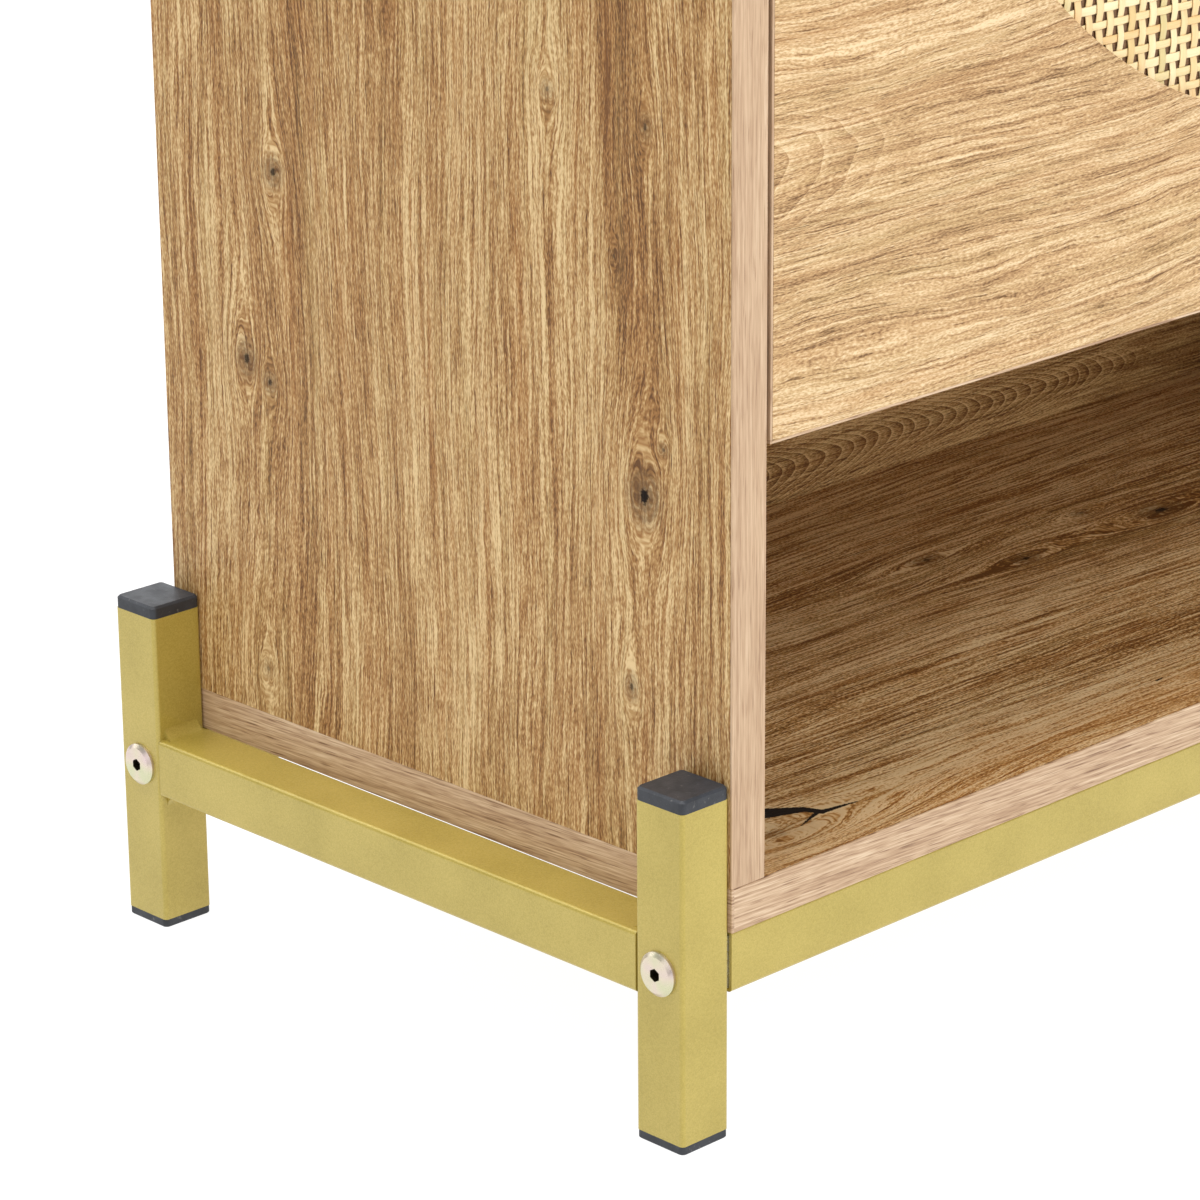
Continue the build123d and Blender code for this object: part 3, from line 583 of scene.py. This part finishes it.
def cane_material(name, across, along):
    """Split cane: each strand has its own tint, with fine fibres along it."""
    p = Paint(name)
    u, v = p.coordinates(across + along)
    strand = p.math("ROUND", p.mul(u, 1 / (PITCH_MM * MM)))
    tint = p.node("TexWhiteNoise", noise_dimensions="1D")
    p.put(tint.inputs["W"], strand)
    split = p.node("SeparateColor")
    p.put(split.inputs[0], tint.outputs["Color"])
    fibres = p.streaks(u, v, 0.0, 0.3, 12, detail=2.0)
    patches = p.streaks(u, v, 0.0, 3.0, 28, detail=2.0, seed=4.0)
    tone = p.total(p.mul(split.outputs[0], 0.35), p.mul(fibres, 0.55), p.mul(patches, 0.6), 0.34)
    color = p.ramp(
        tone,
        (0.0, srgb(220, 184, 122)),
        (0.5, srgb(244, 219, 166)),
        (1.0, srgb(254, 240, 202)),
    )
    green = p.remap(split.outputs[1], 0.80, 0.95)
    orange = p.remap(split.outputs[2], 0.78, 0.95)
    color = p.mix(p.mul(green, 0.4), color, srgb(190, 186, 120))
    color = p.mix(p.mul(orange, 0.45), color, srgb(232, 176, 104))
    return p.finish(color, 0.42, p.bump(p.add(fibres, patches), 0.05, 0.6), Specular_IOR_Level=0.5)


def strand_mesh(verts, faces, path, wide, thick, side):
    """Adds one flat strand along path, with its width along side and a slightly crowned front."""
    half = wide / 2
    first, ring = len(verts), len(SECTION)
    for place in path:
        for across, depth in SECTION:
            verts.append(place + side * (across * half) + Vector((0, depth * thick, 0)))
    for step in range(len(path) - 1):
        a = first + step * ring
        for k in range(ring):
            b = (k + 1) % ring
            faces.append((a + k, a + ring + k, a + ring + b, a + b))
    last = first + (len(path) - 1) * ring
    faces.append(tuple(first + k for k in range(ring)))
    faces.append(tuple(last + k for k in reversed(range(ring))))


def corner_inset(distance):
    """How far the rounded corner stands in, at a distance from the outline's straight or curved side."""
    if distance >= REBATE_CORNER:
        return 0.0
    return REBATE_CORNER - sqrt(max(REBATE_CORNER**2 - (REBATE_CORNER - distance) ** 2, 0.0))


def weave(drawer, flat_up, seed):
    """Two pieces for each drawer: the strands across the width, and the upright ones.

    flat_up is 1 where the half disc's flat side is up, and -1 where it is down.
    """
    node = f"cane_webbing_{drawer}"
    low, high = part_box(node)
    radius = (high.z - low.z) / MM - REBATE_GROW
    flat = (high.z if flat_up > 0 else low.z) / MM
    centre = flat - flat_up * REBATE_GROW
    middle_y = (low.y + high.y) / 2 / MM
    swing = 0.85 * (high.y - low.y) / 2 / MM - CROWN * STRAND_THICK
    rng = Random(seed)

    def rise(place, sign):
        turn = cos(pi * place / PITCH_MM)
        return middle_y - sign * swing * (abs(turn) ** 0.6 if turn > 0 else -abs(turn) ** 0.6)

    for kind, wide in (("weft", WEFT_WIDE), ("warp", WARP_WIDE)):
        verts, faces = [], []
        reach = int(radius / PITCH_MM) + 2
        for index in range(-reach, reach + 1):
            at = index * PITCH_MM
            start_z = round(centre / PITCH_MM) * PITCH_MM
            if kind == "weft":
                at += start_z
                from_centre = at - centre
                to_flat = (flat - at) * flat_up
                if to_flat < wide or abs(from_centre) > radius - wide:
                    continue
                half = sqrt(radius**2 - (abs(from_centre) + wide / 2) ** 2)
                half -= corner_inset(to_flat - wide / 2)
                span = (-half, half)
            else:
                if abs(at) > radius - wide:
                    continue
                to_end = sqrt(radius**2 - (abs(at) + wide / 2) ** 2)
                inset = corner_inset(radius - abs(at) - wide / 2)
                span = sorted((flat - flat_up * inset, centre - flat_up * to_end))
            sign = 1 if round(at / PITCH_MM) % 2 == 0 else -1
            if kind == "warp":
                sign = -sign
            step = PITCH_MM / STEPS_PER_PITCH
            count = int((span[1] - span[0]) / step)
            sway, phase = rng.uniform(0.05, 0.22), rng.uniform(0, 2 * pi)
            width = wide * rng.uniform(0.9, 1.06)
            path = []
            for k in range(int(span[0] / step) + 1, int(span[0] / step) + count):
                run = k * step
                aside = at + sway * sin(run / 17 + phase)
                y = rise(run, sign)
                path.append(Vector((run, y, aside) if kind == "weft" else (aside, y, run)) * MM)
            if len(path) < 3:
                continue
            side = Vector((0, 0, 1)) if kind == "weft" else Vector((1, 0, 0))
            strand_mesh(verts, faces, path, width * MM, STRAND_THICK * MM, side)
        name = f"cane_{kind}_{drawer}"
        mesh = bpy.data.meshes.new(name)
        mesh.from_pydata(verts, [], faces)
        mesh.polygons.foreach_set("use_smooth", [True] * len(mesh.polygons))
        mesh.update()
        piece = bpy.data.objects.new(name, mesh)
        bpy.context.collection.objects.link(piece)
        mesh.materials.append(CANE[kind])
        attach(piece, f"{drawer}_drawer")
        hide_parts(node)


# ---------- dressing the CAD nodes ----------
def dress(node, material):
    for slot in frame["nodes"][node].material_slots:
        slot.link = "OBJECT"
        slot.material = material


def soften(node, width):
    """Rounds an edge band's arrises by width mm, so that they catch the light."""
    piece = frame["nodes"][node]
    weld = piece.modifiers.new("weld", "WELD")
    weld.merge_threshold = 0.001 * MM
    bevel = piece.modifiers.new("arris", "BEVEL")
    bevel.width, bevel.segments = width * MM, 2
    bevel.limit_method, bevel.angle_limit = "ANGLE", radians(50)


make_camera()
make_studio()
make_floor()

CANE = {"weft": cane_material("cane_weft", "Z", "X"), "warp": cane_material("cane_warp", "X", "Z")}
weave("lower", 1, 11)
weave("upper", -1, 12)

panel_left = oak("oak_panel_left", "YZX", PANEL_KNOTS, seed=0.0, contrast=1.2)
panel_right = oak("oak_panel_right", "YZX", moved(PANEL_KNOTS, 0.31), seed=41.0, contrast=1.2)
floor_oak = oak(
    "oak_floor", "YXZ", FLOOR_KNOTS, FLOOR_CRACKS, FLOOR_OAK, seed=63.0, contrast=2.1, tinge=(-0.085, -0.115)
)
top_oak = oak("oak_top", "YXZ", moved(FLOOR_KNOTS, 0.12), seed=77.0)
shelf_oak = oak("oak_shelf", "YXZ", seed=88.0)
lip_oak = oak("oak_lip", "ZXY", seed=93.0)
front_oak = oak("oak_front", "ZXY", palette=FRONT_OAK, seed=19.0, wave=44.0, arch=FRONT_ARCH, contrast=1.1)
back_oak = oak("oak_back", "ZXY", palette=BACK_OAK, seed=55.0, wave=16.0, arch=BACK_ARCH, contrast=1.4)
panel_inner, door_edge = -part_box("side_panel_left")[1].x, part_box("front_edge_bands_lower")[1].x
BY_SLOT = {
    "edge_band": edge_band("front_band", door_edge - 1.1 * MM),
    "back_sheet": back_oak,
    "oak_front": front_oak,
    "backing": plain_wood("backing_board", "ZXY", (104, 74, 50), (140, 104, 72)),
    "beech": plain_wood("beech", "XZY", (196, 158, 112), (222, 190, 146)),
    "gold_frame": gold_paint("gold_frame"),
    "gold_knob": gold_paint("gold_knob", (200, 172, 100)),
    "yellow_zinc": bolt_zinc(),
    "zinc_steel": zinc("zinc_steel", (176, 178, 182), (206, 208, 212)),
    "black_plastic": plastic("black_plastic", (42, 45, 51), speck=(130, 128, 124), grain=0.12, mottle=0.14),
    "grey_plastic": plastic("grey_plastic", (172, 168, 158)),
    "brown_plastic": plastic("brown_plastic", (120, 86, 54)),
}
BY_NODE = {
    "side_panel_left": panel_left,
    "side_panel_right": panel_right,
    "bottom_board": floor_oak,
    "top_board": top_oak,
    "carcass_edge_bands": edge_band("carcass_band", panel_inner - MM),
}
for part in record["subparts"]:
    node, slot = part["node"], part["material_slot"]
    if node in BY_NODE:
        material = BY_NODE[node]
    elif slot == "oak_board":
        material = lip_oak if node.startswith("lip_") else shelf_oak
    elif slot == "cane":
        continue
    else:
        material = BY_SLOT[slot]
    dress(node, material)

for node in ("carcass_edge_bands", "front_edge_bands_lower", "front_edge_bands_upper"):
    soften(node, 0.3)
